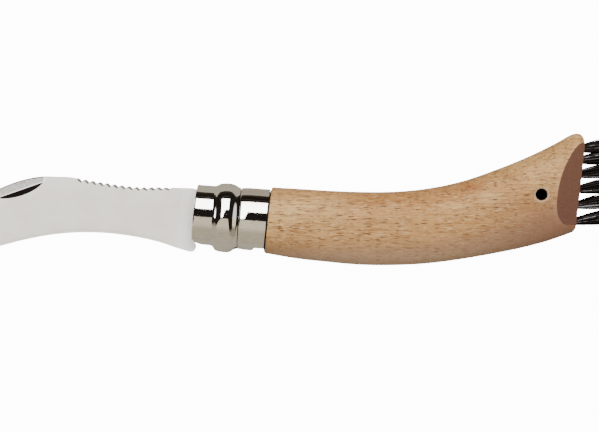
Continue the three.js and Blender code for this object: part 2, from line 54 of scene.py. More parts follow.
# Handle
SHOULDER = 12.8
GRIP_LENGTH = 95.2
GRIP_END = SHOULDER + GRIP_LENGTH
GRIP_RADIUS = 10.3
GRIP_HALF = 10.75
GRIP_END_HALF = 9.45
GRIP_TOP_RISE = 26.2
GRIP_BELLY_RISE = 14.05
GRIP_SWELL = 9
GRIP_TAPER = 22
GRIP_FULLNESS = 0.45
FULL_FROM_SHARE = 0.15
SIDE_DROP = 0.08
DROP_FROM_SHARE = 0.35
BACK_ROUND = 5.2
BELLY_ROUND = 0.6
END_TILT = math.radians(2)
FACE_HALF = 5
FACET_SLOPE = math.tan(math.radians(33))
FACET_SOFTNESS = 0.06
FACET_TILT = math.tan(math.radians(3))
FACET_LEVEL = 12.5
FACET_FOOT = 5.8
GRAIN_TURN = math.radians(4.3)
NECK_RADIUS = 7.55
NECK_ROOT_RADIUS = 8.75
NECK_ROOT = 5.05
NECK_FRONT = -8.7
RECESS_RADIUS = 9.6
RECESS_GAP = 0.12
NECK_SPLIT = -3.5
STEP_INSET = 0.3
SLOT_HALF = 1.15
SLOT_GAP = 0.8
SLOT_RAMP = 1.8
SLOT_OVERRUN = 3
TANG_SWING_SHARE = 1.3
PIVOT_RADIUS = 1.8
HANDLE_BORE_LENGTH = 24
BLADE_BORE_LENGTH = 4
LANYARD = Vector((95.75, 14.4, 0))
LANYARD_RADIUS = 1.75
LANYARD_RIM = 0.55
LANYARD_SINK = 0.2
LANYARD_OVERRUN = 2
# Rows of place along the handle, rise of its back and rise of its belly, as shares of those sizes
GRIP_SHARES = (
    (0, 0.01, 0.018), (0.1, 0.016, -0.045), (0.2, 0.021, -0.069), (0.305, 0.036, -0.078),
    (0.41, 0.069, -0.036), (0.515, 0.137, 0.049), (0.62, 0.248, 0.188), (0.722, 0.405, 0.359),
    (0.826, 0.592, 0.553), (0.92, 0.8, 0.766), (1, 1.015, 1),
)
# The wood's figure follows the handle, which is bent from this place along the grain on. The back's
# level and the depth from back to belly grow from there with the square of the way.
FIGURE_BEND = 52.0
FIGURE_LEVEL = 8.4
FIGURE_RISE = 0.0067
FIGURE_DEPTH = 22.4
FIGURE_SPREAD = 0.0032
# Soft patches in the wood: place along and across the grain, half length, half width, tone and share
PALE_PATCH = (0.585, 0.395, 0.165)
WOOD_FIGURE = (
    (22.8, 3.1, 8, 1.6, PALE_PATCH, 0.2),
    (44.5, 4.6, 7, 1.8, (0.318, 0.125, 0.030), 0.5),
    (69.3, 3.4, 6, 2.0, PALE_PATCH, 0.4),
    (75.5, 9.3, 4, 1.6, (0.300, 0.095, 0.026), 0.6),
    (71.8, 6.2, 0.9, 1.3, (0.250, 0.090, 0.026), 0.6),
    (81.7, 6.5, 5, 2.4, PALE_PATCH, 0.4),
)
# Three sizes of dark fleck: length, width and how rare they are
FLECKS = ((4.4, 0.58, 0.56), (3.0, 0.46, 0.60), (2.0, 0.34, 0.66))
FLECK_SHIFT = (7.3, 1.7, 3.1)

# Blade
BLADE_REACH = 88.3
BLADE_DEPTH = 20
BLADE_HALF = 0.85
TANG_RADIUS = 5
FOLD = math.radians(177)
BACK_SHARES = (
    (-0.127, 0.421), (-0.172, 0.412), (-0.242, 0.397), (-0.313, 0.376), (-0.383, 0.385),
    (-0.454, 0.409), (-0.525, 0.438), (-0.561, 0.449), (-0.596, 0.443), (-0.665, 0.422),
    (-0.735, 0.332), (-0.802, 0.192), (-0.865, 0.0), (-0.921, -0.26), (-0.966, -0.58), (-1, -1.015),
)
EDGE_SHARES = (
    (-1, -1.015), (-0.95, -0.932), (-0.88, -0.835), (-0.787, -0.7), (-0.718, -0.595), (-0.65, -0.507),
    (-0.58, -0.439), (-0.511, -0.395), (-0.44, -0.375), (-0.37, -0.379), (-0.3, -0.404),
    (-0.228, -0.453), (-0.157, -0.531), (-0.122, -0.562),
)
HEEL_SHARES = (
    (-0.122, -0.562), (-0.108, -0.556), (-0.1, -0.5), (-0.0985, -0.465), (-0.104, -0.425),
    (-0.108, -0.39),
)
# The tang is round from one angle to another, in degrees. The corners of the neck and the foot are
# shares of its radius from the pivot, and the shoulder's is one from the back's first point.
TANG_START = 222
TANG_END = 460
NECK_SHARES = ((-0.78, 1.22), (-1.25, 1.75))
SHOULDER_SHARE = (0.34, -0.07)
FOOT_SHARE = (-1.25, -0.86)
LINE_STEPS = 160
SLOT_STEPS = 60
HEEL_STEPS = 24
TANG_STEPS = 28
STOCK_MARGIN = 1
STOCK_DROP_SHARE = 1.2
GRIND_HEIGHT = 13
GRIND_EDGE = 0.22
EDGE_HALF = 0.045
GRIND_START = -12.6
GRIND_RUNOUT = 7
GRIND_LEAN = 0.09
GRIND_HOLLOW = 0.85
BEVEL_HEIGHT = 0.8
BEVEL_OVERRUN = 1
BEVEL_STOCK = 3
NOTCHES = 13
NOTCH_START = -17.15
NOTCH_PITCH = 2.27
NOTCH_DEPTH = 0.6
NOTCHES_END = NOTCH_START - NOTCHES * NOTCH_PITCH
FIRST_NOTCH_SHARE = 0.5
FULL_NOTCH = 4
# Rows of place along a scallop and depth in it, as shares of its length and depth
SCALLOP_SHARES = (
    (0.0, 0.0), (0.1, 0.05), (0.24, 0.42), (0.38, 0.75), (0.54, 1), (0.64, 0.8), (0.72, 0.45), (0.8, 0.16),
    (0.88, 0.03),
)
STROKE_SHARES = ((0.98, -0.05), (0.56, 1))
STROKE_RADIUS = 0.62
STROKE_SINK = 0.12
STROKE_STAND = 0.2
STROKE_OVERRUN = 0.3
STROKE_SIDES = 12
NICK_START = -57.5
NICK_LENGTH = 13.4
NICK_DROP = 1.9
NICK_SLOPE = 0.434
NICK_WIDTH = 1.85
NICK_DEPTH = 0.45
NICK_LIP = 0.06
NICK_OVERRUN = 1
# Rows of how far down the groove reaches and how deep it is there, as shares of its width and depth
NICK_SHARES = ((0.1, 1), (0.85, 0.72))
NICK_SAG_POWER = 0.75
NICK_SAG_SHARES = (1.2, 0.8)
BLADE_GLOSS = 0.16
BACK_CHAMFER = 0.45
CHAMFER_LEAD = 0.8
CHAMFER_RUNOUT = 1.5
CHAMFER_OVERRUN = 1
CHAMFER_STOCK = 1.5
CHAMFER_HEAD = 2.2
CUT_SKIN = 0.001
CELL = 0.45

# Collar
RING_FRONT = -10.07
RING_RADIUS = 9.65
RING_BEAD = 10.75
RING_REAR = 3.85
RING_MOUTH = 6.4
RING_RAMP = 2.4
RAMP_START = -5.5
RAMP_POWER = 1.7
# Rows of place along x and rise above the ring's radius, from the front lip to the bead
RING_RISES = (
    (RING_FRONT, 0.09), (-9.75, 0.025), (-9.3, 0), (-7, 0), (-5.6, 0), (-4.8, 0), (-4.5, 0),
)
# Rows of place along x and rise above the ring's radius, as shares of the bead's rise
BEAD_SHARES = (
    (-4.17, 0), (-4.13, 0.006), (-3.97, 0.048), (-3.8, 0.115), (-3.55, 0.215), (-3.3, 0.345), (-2.95, 0.53),
    (-2.5, 0.71), (-1.95, 0.84), (-1.1, 0.96), (-0.2, 1), (0.7, 0.99),
    (1.46, 0.88), (2.2, 0.64), (2.9, 0.3), (3.4, 0.08), (RING_REAR, 0),
)
# Rows of place along x and half the width of the opening below
RING_GAP = (
    (RING_FRONT, RING_MOUTH), (-8.6, 4.8), (-7, 4.1), (-4, 4), (-2.5, 1.3), (1.95, 1.3), (2.3, 2.6),
    (RING_REAR, 2.6),
)
RING_COLUMNS = 220
RING_WALL = 0.8
SLEEVE_RADIUS = 8.55
SLEEVE_WALL = 0.7
SLEEVE_FRONT = -9
BAND_RADIUS = 9.85
BAND_FRONT = 3.95
BAND_REAR = 12.35
BAND_LEAN = math.tan(math.radians(2.1))
BAND_LEVEL = -4
# Rows of place along x and rise above the sleeve's radius, then above the band's
SLEEVE_RISES = (
    (SLEEVE_FRONT, 0), (-5.5, 0), (-1.5, 0), (1.5, 0), (3, 0), (3.65, 0.05), (BAND_FRONT + 0.02, 0.5),
)
BAND_RISES = (
    (BAND_FRONT + 0.1, -0.36), (BAND_FRONT + 0.4, -0.19), (BAND_FRONT + 1, -0.116), (5.6, -0.054),
    (6.3, -0.0135), (7, 0), (9, 0), (10.8, 0), (BAND_REAR, 0),
)
# Rows of place along x and half the width of the slot below
COLLAR_GAP = ((SLEEVE_FRONT, 2.9), (8.6, 2.9), (9.5, 5), (BAND_REAR, 4.9))
COLLAR_COLUMNS = 200
SHEET_ROWS = 72
SHEET_ROUND = 0.13

# Brush
TUFT_TOP = 29.75
TUFT_SPAN = 22.65
TUFT_ROW_SHARES = (0, 0.162, 0.352, 0.56, 0.777, 1)
TUFT_COLUMNS = (-1.8, 1.8)
TUFT_RADIUS = 1.34
HOLE_RADIUS = 1.45
HOLE_DEPTH = 4
HOLE_SIDES = 24
ROOT_GAP = 1.2
STRANDS = 84
STRAND_RADIUS = 0.125
STRAND_TIP_SHARE = 0.65
STRAND_SIDES = 5
STRAND_STEPS = 7
STRAND_LENGTH = 18
STRAND_TRIM_SHARE = 0.93
STRAND_LIFT = math.radians(8)
STRAND_CURL = math.radians(3.2)
STRAND_CURL_LOW = math.radians(5.4)
STRAND_SPREAD = 1.68
STRAND_SPREAD_SHARES = (0.75, 1.1)
STRAND_DRIFT = 0.7
STRAND_WAVE = 0.22
STRAND_RIPPLE = 7
STRAND_BEND = 9
COLUMN_SPREAD = 0.3
TUFT_TONE_STEP = 0.3
BRUSH_SEED = 8

# Floor, light and camera: places and sizes in metres, the camera's sensor and lens in millimetres
FLOOR_HALF = 1.5
FLOOR_GLOW = 13.0
KEY_PLACE = Vector((0.05, 0.35, 0.9))
KEY_TARGET = Vector((0.03, 0, 0))
KEY_SIZE = 0.5
KEY_WATTS = 7.25
CAMERA_AIM = COLLAR + Vector((22.5, 2.3, 0)) * MM
CAMERA_HEIGHT = 0.65
CAMERA_TURN = GRAIN_TURN
CAMERA_SENSOR = 36
CAMERA_LENS = 126

ALONG_X = Matrix.Rotation(math.pi / 2, 4, "Y")


def smoothstep(value, low, high):
    share = min(max((value - low) / (high - low), 0), 1)
    return share * share * (3 - 2 * share)


def lerp(a, b, share):
    return a + (b - a) * share


def along(points, share):
    """A point on the smooth curve through a row of points, at a share of the row."""
    place = share * (len(points) - 1)
    i = min(int(place), len(points) - 2)
    t = place - i
    before, a, b, after = (Vector(points[min(max(i + k, 0), len(points) - 1)]) for k in (-1, 0, 1, 2))
    leave = (b - before) / 2
    reach = (after - a) / 2
    cubed = 2 * a - 2 * b + leave + reach
    squared = 3 * b - 3 * a - 2 * leave - reach
    return cubed * t ** 3 + squared * t ** 2 + leave * t + a


def smooth_row(points, steps):
    return [along(points, i / steps) for i in range(steps + 1)]


def height_at(line, x):
    """The height of a row of points, from one end to the other, at one place along x."""
    for a, b in zip(line, line[1:]):
        if min(a[0], b[0]) <= x <= max(a[0], b[0]) and a[0] != b[0]:
            return lerp(a[1], b[1], (x - a[0]) / (b[0] - a[0]))
    end = min((line[0], line[-1]), key=lambda point: abs(point[0] - x))
    return end[1]


def mesh_of(bm, name):
    """A mesh made of a bmesh, which is freed."""
    mesh = bpy.data.meshes.new(name)
    bm.to_mesh(mesh)
    bm.free()
    return mesh


def placed(name, data):
    """A new object in the scene, of a mesh, a lamp or a camera."""
    thing = bpy.data.objects.new(name, data)
    bpy.context.scene.collection.objects.link(thing)
    return thing


def finished(bm, name, material, body="grip", sharp=30):
    """Make an object of a mesh modelled in millimetres around the collar, and let it ride."""
    bm.transform(TO_ROOM)
    mesh = mesh_of(bm, name)
    for face in mesh.polygons:
        face.use_smooth = True
    mesh.set_sharp_from_angle(angle=math.radians(sharp))
    mesh.materials.append(material)
    piece = placed(name, mesh)
    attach(piece, body)
    return piece


def cut_away(bm, cutters, operation="DIFFERENCE"):
    """Cut a mesh by closed ones, and return what is left."""
    stock = placed("stock", mesh_of(bm, "stock"))
    tools = []
    for cutter in cutters:
        bmesh.ops.recalc_face_normals(cutter, faces=cutter.faces)
        tool = placed("cutter", mesh_of(cutter, "cutter"))
        modifier = stock.modifiers.new("cut", "BOOLEAN")
        modifier.operation = operation
        modifier.solver = "EXACT"
        modifier.object = tool
        tools.append(tool)
    left = bmesh.new()
    left.from_object(stock, bpy.context.evaluated_depsgraph_get())
    for tool in tools + [stock]:
        mesh = tool.data
        bpy.data.objects.remove(tool)
        bpy.data.meshes.remove(mesh)
    return left


def joined(parts):
    """One mesh of several closed ones that stand apart."""
    whole = bmesh.new()
    for part in parts:
        mesh = mesh_of(part, "part")
        whole.from_mesh(mesh)
        bpy.data.meshes.remove(mesh)
    return whole


def raise_faces(bm, faces, height):
    """Extrude flat faces straight up, and turn every face outwards."""
    raised = bmesh.ops.extrude_face_region(bm, geom=faces)["geom"]
    corners = [item for item in raised if isinstance(item, bmesh.types.BMVert)]
    bmesh.ops.translate(bm, vec=(0, 0, height), verts=corners)
    bmesh.ops.recalc_face_normals(bm, faces=bm.faces)


def plate(outline, low, high):
    """A closed plate of one outline of x and y, between two heights."""
    bm = bmesh.new()
    corners = [bm.verts.new((x, y, low)) for x, y in outline]
    face = bm.faces.new(corners)
    raise_faces(bm, [face], high - low)
    return bm


def post(radius, top_radius, length, matrix, segments=32):
    """A closed post, its length along the matrix's z axis and centred on its place."""
    bm = bmesh.new()
    bmesh.ops.create_cone(bm, cap_ends=True, segments=segments, radius1=radius, radius2=top_radius,
                          depth=length, matrix=matrix)
    return bm


def divided_rod(sides, steps, middle, top_radius=1):
    """A closed rod along x, of length 1 and radius 1, divided into steps so that it can be bent."""
    bm = post(1, top_radius, 1, Matrix.Translation((middle, 0, 0)) @ ALONG_X, sides)
    lengthwise = [edge for edge in bm.edges if abs(edge.verts[0].co.x - edge.verts[1].co.x) > 0.5]
    bmesh.ops.subdivide_edges(bm, edges=lengthwise, cuts=steps - 1, use_grid_fill=True)
    return bm


def pivot_bore(length):
    """The hole for the pivot rivet."""
    return post(PIVOT_RADIUS, PIVOT_RADIUS, length, Matrix.Translation(PIVOT))


# The handle


def lean(x, y):
    """How far the collar's rear end and the wood behind it lean back at one height."""
    ends = smoothstep(x, BAND_FRONT, BAND_REAR) * (1 - smoothstep(x, SHOULDER + 1, SHOULDER + GRIP_SWELL))
    return BAND_LEAN * (y - BAND_LEVEL) * ends


def grip_half(x):
    swollen = lerp(GRIP_RADIUS, GRIP_HALF, smoothstep(x, SHOULDER, SHOULDER + GRIP_SWELL))
    return lerp(swollen, GRIP_END_HALF, smoothstep(x, GRIP_END - GRIP_TAPER, GRIP_END))


def drawn_in(x, rounding):
    """How far a rounded end of the grip has drawn in at one place along x."""
    into = min(max(0, x - GRIP_END + rounding), rounding)
    return rounding - math.sqrt(rounding * rounding - into * into)


def grip_point(share, angle):
    """A point of the grip's skin, at a share of its length and an angle from the upper side."""
    row = along(GRIP_SHARES, share)
    x = SHOULDER + GRIP_LENGTH * row[0]
    top = GRIP_RADIUS + GRIP_TOP_RISE * row[1] - drawn_in(x, BACK_ROUND)
    belly = -GRIP_RADIUS + GRIP_BELLY_RISE * row[2] + drawn_in(x, BELLY_ROUND)
    middle = (top + belly) / 2
    power = 2 / (2 + GRIP_FULLNESS * smoothstep(share, 0, FULL_FROM_SHARE))
    across = math.copysign(abs(math.cos(angle)) ** power, math.cos(angle))
    up = math.copysign(abs(math.sin(angle)) ** power, math.sin(angle))
    drop = SIDE_DROP * smoothstep(share, DROP_FROM_SHARE, 1) * across ** 2
    y = middle + (top - belly) / 2 * (up - drop)
    side = abs(grip_half(x) * across)
    x += math.tan(END_TILT) * smoothstep(x, GRIP_END - GRIP_TAPER, GRIP_END) * (y - middle)
    facet = FACE_HALF + (GRIP_END - x + (y - FACET_LEVEL) * FACET_TILT) * FACET_SLOPE
    side = (side + facet - math.hypot(side - facet, FACET_SOFTNESS)) / 2
    return Vector((x + lean(x, y), y, math.copysign(side, across)))


def grip_share(ring, coarse, fine):
    """The share of the grip's length at one of its rings, which lie closest at the rounded end."""
    coarse_share = 0.86
    middle_share = 0.68
    straight = 1 - BACK_ROUND / GRIP_LENGTH
    if ring <= coarse:
        return coarse_share * ring / coarse
    step = (ring - coarse) / fine
    if step <= middle_share:
        return lerp(coarse_share, straight, step / middle_share)
    turn = (step - middle_share) / (1 - middle_share) * math.pi / 2
    return lerp(straight, 1, math.sin(turn))


def grip_blank():
    """The bent grip and the stepped neck under the collar, with no cuts in it."""
    sides = 176
    coarse = 64
    fine = 56
    bm = divided_rod(sides, coarse + fine, 0)
    for vert in bm.verts:
        ring = round((vert.co.x + 0.5) * (coarse + fine))
        vert.co = grip_point(grip_share(ring, coarse, fine), math.atan2(vert.co.y, vert.co.z))
    shoulder = min(bm.faces, key=lambda face: face.calc_center_median().x)
    steps = (
        (RECESS_RADIUS, BAND_REAR + RECESS_GAP),
        (NECK_ROOT_RADIUS, NECK_ROOT),
        (NECK_RADIUS, NECK_FRONT),
    )
    for radius, x in steps:
        bmesh.ops.inset_region(bm, faces=[shoulder], thickness=STEP_INSET, use_even_offset=True)
        for vert in shoulder.verts:
            vert.co.yz = vert.co.yz.normalized() * radius
        shoulder = bmesh.ops.extrude_discrete_faces(bm, faces=[shoulder])["faces"][0]
        for vert in shoulder.verts:
            vert.co.x = x + lean(x, vert.co.y)
    bmesh.ops.recalc_face_normals(bm, faces=bm.faces)
    return bm


def blade_point(share):
    return Vector((share[0] * BLADE_REACH, share[1] * BLADE_DEPTH))


def blade_line(shares, steps=LINE_STEPS):
    """A smooth line through points given as shares of the blade's reach and depth."""
    return smooth_row([blade_point(share) for share in shares], steps)


def folded(point):
    """Where a point of the open blade lies once it is folded into the handle."""
    arm = point - PIVOT.xy
    turned = Matrix.Rotation(FOLD, 2) @ arm
    return turned + PIVOT.xy


def slot_cutter():
    """The saw cut for the folded blade, its floor following the folded edge."""
    heel = folded(blade_point(HEEL_SHARES[0]))
    tip = folded(blade_point(EDGE_SHARES[0]))
    end = (tip - PIVOT.xy).length + SLOT_GAP
    tang_floor = PIVOT.y + TANG_SWING_SHARE * TANG_RADIUS + SLOT_GAP
    low = -GRIP_RADIUS - GRIP_BELLY_RISE
    front = NECK_FRONT - SLOT_OVERRUN
    floor = [folded(point) for point in blade_line(EDGE_SHARES, SLOT_STEPS)]
    outline = [
        (front, low), (front, GRIP_RADIUS), (NECK_SPLIT, GRIP_RADIUS), (NECK_SPLIT, tang_floor),
        (heel.x - SLOT_GAP - SLOT_RAMP, tang_floor), (heel.x - SLOT_GAP, heel.y + SLOT_GAP),
        *[(point.x, point.y + SLOT_GAP) for point in reversed(floor)],
        (end, tip.y + SLOT_GAP), (end, low),
    ]
    return plate(outline, -SLOT_HALF, SLOT_HALF)


def lanyard_cutters():
    """The hole for a cord through the handle, with a small chamfer at both mouths."""
    sides = 48
    half = grip_half(LANYARD.x)
    deep = 2 * (half + LANYARD_OVERRUN)
    wide = LANYARD_RADIUS + 2 * LANYARD_RIM
    cutters = [post(LANYARD_RADIUS, LANYARD_RADIUS, deep, Matrix.Translation(LANYARD), sides)]
    for side in (1, -1):
        radii = (LANYARD_RADIUS, wide) if side > 0 else (wide, LANYARD_RADIUS)
        place = Matrix.Translation(LANYARD + Vector((0, 0, side * (half - LANYARD_SINK))))
        cutters.append(post(*radii, 2 * LANYARD_RIM, place, sides))
    return cutters


def tuft_places():
    for share in TUFT_ROW_SHARES:
        for z in TUFT_COLUMNS:
            yield Vector((GRIP_END, TUFT_TOP - share * TUFT_SPAN, z))


def tuft_holes():
    slant = Matrix.Rotation(STRAND_LIFT, 4, "Z") @ ALONG_X
    for place in tuft_places():
        yield post(HOLE_RADIUS, HOLE_RADIUS, 2 * HOLE_DEPTH, Matrix.Translation(place) @ slant,
                   HOLE_SIDES)


def make_handle(material):
    cutters = [slot_cutter(), *lanyard_cutters(), joined(tuft_holes()), pivot_bore(HANDLE_BORE_LENGTH)]
    handle = finished(cut_away(grip_blank(), cutters), "beech_handle", material)
    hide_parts("handle")


# The collar


def blend_row(rows, x):
    """A value that changes along x through a few places."""
    for (a, low), (b, high) in zip(rows, rows[1:]):
        if x <= b:
            return lerp(low, high, smoothstep(x, a, b))
    return rows[-1][1]


def rolled_sheet(name, material, body, profile, gap, columns, wall, trim):
    """A strip rolled round the collar's axis: a grid bent over a profile, open below, with a wall."""
    bm = bmesh.new()
    bmesh.ops.create_grid(bm, x_segments=SHEET_ROWS, y_segments=columns, size=0.5)
    for vert in bm.verts:
        x, radius = along(profile, vert.co.x + 0.5)
        start = math.asin(min(blend_row(gap, x) / radius, 1))
        angle = lerp(start, 2 * math.pi - start, vert.co.y + 0.5)
        y = -radius * math.cos(angle)
        vert.co = Vector((trim(x, angle, y), y, radius * math.sin(angle)))
    bmesh.ops.recalc_face_normals(bm, faces=bm.faces)
    top = Vector((0, RING_RADIUS, 0))
    upper = min(bm.faces, key=lambda face: (face.calc_center_median() - top).length)
    if upper.normal.y < 0:
        bmesh.ops.reverse_faces(bm, faces=bm.faces)
    piece = finished(bm, name, material, body, sharp=50)
    sheet = piece.modifiers.new("wall", "SOLIDIFY")
    sheet.thickness = wall * MM
    sheet.offset = -1
    sheet.use_even_offset = True
    rim = piece.modifiers.new("rim", "BEVEL")
    rim.width = SHEET_ROUND * MM
    rim.segments = 2
    rim.limit_method = "ANGLE"
    rim.angle_limit = math.radians(60)
    return piece


def ring_end(x, angle, y):
    """Where a point of the ring lies along x: its front end is cut on a slant, which wedges the heel."""
    mouth = math.asin(RING_MOUTH / RING_RADIUS)
    share = min(max((angle - mouth) / (2 * math.pi - 2 * mouth), 0), 1)
    ramp = RING_FRONT + RING_RAMP * share ** RAMP_POWER
    return x if x > RAMP_START else lerp(RAMP_START, ramp, (x - RAMP_START) / (RING_FRONT - RAMP_START))


def raised_rows(rows, radius, rise=1):
    """A profile of places along x and radii, from rows of shares of a rise above one radius."""
    return [(x, radius + share * rise) for x, share in rows]


def make_lock_ring(material):
    profile = raised_rows(RING_RISES, RING_RADIUS)
    profile += raised_rows(BEAD_SHARES, RING_RADIUS, RING_BEAD - RING_RADIUS)
    ring = rolled_sheet("lock_ring_sheet", material, "ring", profile, RING_GAP, RING_COLUMNS, RING_WALL,
                        ring_end)
    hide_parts("lock_ring")


def make_fixed_collar(material):
    profile = raised_rows(SLEEVE_RISES, SLEEVE_RADIUS) + raised_rows(BAND_RISES, BAND_RADIUS)
    collar = rolled_sheet("fixed_collar_sheet", material, "grip", profile, COLLAR_GAP, COLLAR_COLUMNS,
                          SLEEVE_WALL, lambda x, angle, y: x + lean(x, y))
    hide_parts("fixed_collar")


# The blade


def scallops():
    """Where each scallop starts along x, and how deep it is: the first few are shallower."""
    for i in range(NOTCHES):
        share = lerp(FIRST_NOTCH_SHARE, 1, smoothstep(i, -1, FULL_NOTCH))
        yield NOTCH_START - i * NOTCH_PITCH, NOTCH_DEPTH * share


def serrated_back(back):
    """The blade's back: plain, then a row of slanted scallops, then plain to the tip."""
    points = [point for point in back if point.x > NOTCH_START]
    for start, depth in scallops():
        for share, down in SCALLOP_SHARES:
            x = start - share * NOTCH_PITCH
            points.append(Vector((x, height_at(back, x) - down * depth)))
    return points + [point for point in back if point.x < NOTCHES_END]


def stroke_cutters(back):
    """The file's slanted mark on both faces, down the slope between each scallop and its crest."""
    strokes = []
    for start, depth in scallops():
        ends = []
        for share, down in STROKE_SHARES:
            x = start - share * NOTCH_PITCH
            ends.append(Vector((x, height_at(back, x) - down * depth - STROKE_SINK, 0)))
        run = ends[1] - ends[0]
        turn = Matrix.Rotation(math.atan2(run.y, run.x), 4, "Z") @ ALONG_X
        for side in (1, -1):
            middle = (ends[0] + ends[1]) / 2 + Vector((0, 0, side * (BLADE_HALF + STROKE_STAND)))
            strokes.append(post(STROKE_RADIUS, STROKE_RADIUS, run.length + STROKE_OVERRUN,
                                Matrix.Translation(middle) @ turn, STROKE_SIDES))
    return joined(strokes)


def swept(rows):
    """A closed bar through a row of sections, each the same number of points."""
    bm = bmesh.new()
    loops = []
    for row in rows:
        verts = [bm.verts.new(point) for point in row]
        loops.append([bm.edges.new((a, b)) for a, b in zip(verts, verts[1:] + verts[:1])])
    for low, high in zip(loops, loops[1:]):
        bmesh.ops.bridge_loops(bm, edges=low + high)
    for loop in (loops[0], loops[-1]):
        bmesh.ops.edgeloop_fill(bm, edges=loop)
    bmesh.ops.recalc_face_normals(bm, faces=bm.faces)
    return bm


def bevel_cutter(edge, side):
    """Stock that the whetstone takes off one face along the edge."""
    rows = []
    for point in edge[::2] + [edge[-1]]:
        top = point.y + BEVEL_HEIGHT
        half = blade_half(point.x, top, edge)
        slope = (half - EDGE_HALF) / BEVEL_HEIGHT
        low = point.y - BEVEL_OVERRUN
        rows.append([
            (point.x, top, side * half),
            (point.x, low, side * (EDGE_HALF - slope * BEVEL_OVERRUN)),
            (point.x, low, side * BEVEL_STOCK),
            (point.x, top, side * BEVEL_STOCK),
        ])
    return swept(rows)


def back_cutter(back, side):
    """The narrow chamfer along the plain part of the back, over the thumbnail groove."""
    start = NICK_START + CHAMFER_LEAD
    above = Vector((0, CHAMFER_OVERRUN, 0))
    up = Vector((0, CHAMFER_HEAD, 0))
    out = Vector((0, 0, side * CHAMFER_STOCK))
    rows = []
    for point in [point for point in back if point.x < start][::2]:
        reach = BACK_CHAMFER * smoothstep(start - point.x, 0, CHAMFER_RUNOUT)
        inner = BLADE_HALF - reach - CHAMFER_OVERRUN
        near = Vector((point.x, point.y - reach, side * (BLADE_HALF + CUT_SKIN)))
        far = Vector((point.x, point.y + CHAMFER_OVERRUN, side * inner))
        rows.append([near, far, far + above, near + out + up, near + out])
    return swept(rows)


def blade_outline(back, edge):
    """The blade from above: its tang, neck and back to the tip, then its edge, heel and foot."""
    disc = []
    for i in range(TANG_STEPS + 1):
        angle = math.radians(lerp(TANG_START, TANG_END, i / TANG_STEPS))
        disc.append(PIVOT.xy + TANG_RADIUS * Vector((math.cos(angle), math.sin(angle))))
    neck = [PIVOT.xy + TANG_RADIUS * Vector(share) for share in NECK_SHARES]
    shoulder = [blade_point(BACK_SHARES[0]) + TANG_RADIUS * Vector(SHOULDER_SHARE)]
    heel = blade_line(HEEL_SHARES, HEEL_STEPS)
    foot = [PIVOT.xy + TANG_RADIUS * Vector(FOOT_SHARE)]
    return disc + neck + shoulder + serrated_back(back) + edge[1:-1] + heel + foot


def blade_half(x, y, edge):
    """Half the blade's thickness at one place: full at the back, ground thinner to the edge."""
    above = y - height_at(edge, x)
    plunge = smoothstep(GRIND_START - x + GRIND_LEAN * above, 0, GRIND_RUNOUT)
    share = min(max(above / GRIND_HEIGHT, 0), 1)
    return lerp(BLADE_HALF, lerp(GRIND_EDGE, BLADE_HALF, share ** GRIND_HOLLOW), plunge)


def nick_top():
    """The height of the thumbnail groove's straight side where it starts."""
    return height_at(blade_line(BACK_SHARES), NICK_START) - NICK_DROP


def nick_cutter():
    """The thumbnail groove: straight along its top, round below, and deepest at the top."""
    steps = 40
    start = Vector((NICK_START, nick_top(), 0))
    run = Vector((-NICK_LENGTH, -NICK_SLOPE * NICK_LENGTH, 0))
    sections = [(NICK_WIDTH * wide, BLADE_HALF - NICK_DEPTH * deep) for wide, deep in NICK_SHARES]
    sections += [(NICK_WIDTH, BLADE_HALF + CUT_SKIN), (NICK_WIDTH, BLADE_HALF + NICK_OVERRUN)]
    rows = []
    for width, z in sections:
        row = []
        for i in range(steps + 1):
            share = i / steps
            sag = (4 * share * (1 - share)) ** NICK_SAG_POWER * lerp(*NICK_SAG_SHARES, share)
            row.append(start + run * share + Vector((0, -width * sag, z)))
        for share in (1, 0):
            row.append(start + run * share + Vector((0, NICK_LIP, z)))
        rows.append(row)
    return swept(rows)


def make_blade(material):
    back = blade_line(BACK_SHARES)
    edge = blade_line(EDGE_SHARES)
    outline = blade_outline(back, edge)
    low = Vector((-BLADE_REACH - STOCK_MARGIN, STOCK_DROP_SHARE * edge[0].y))
    high = Vector((TANG_RADIUS + 2 * STOCK_MARGIN, back[0].y + 2 * STOCK_MARGIN))
    size = high - low
    bm = bmesh.new()
    bmesh.ops.create_grid(bm, x_segments=int(size.x / CELL), y_segments=int(size.y / CELL), size=0.5)
    bmesh.ops.scale(bm, vec=(size.x, size.y, 1), verts=bm.verts)
    middle = (low + high) / 2
    bmesh.ops.translate(bm, vec=(middle.x, middle.y, -BLADE_HALF), verts=bm.verts)
    raise_faces(bm, bm.faces[:], 2 * BLADE_HALF)
    template = plate(outline, -BLADE_HALF - STOCK_MARGIN, BLADE_HALF + STOCK_MARGIN)
    bm = cut_away(bm, [template], "INTERSECT")
    for vert in bm.verts:
        half = blade_half(vert.co.x, vert.co.y, edge)
        vert.co.z = math.copysign(half, vert.co.z)
    cutters = [nick_cutter(), pivot_bore(BLADE_BORE_LENGTH), stroke_cutters(back)]
    for side in (1, -1):
        cutters += [bevel_cutter(edge, side), back_cutter(back, side)]
    blade = finished(cut_away(bm, cutters), "steel_blade", material, "folding_blade", sharp=8)
    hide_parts("blade")


# The brush


def strand_pattern():
    """One straight bristle along x, of length 1, to be copied and bent."""
    pattern = divided_rod(STRAND_SIDES, STRAND_STEPS, 0.5, STRAND_TIP_SHARE)
    pattern.verts.layers.float.new("shade")
    return mesh_of(pattern, "strand_pattern")


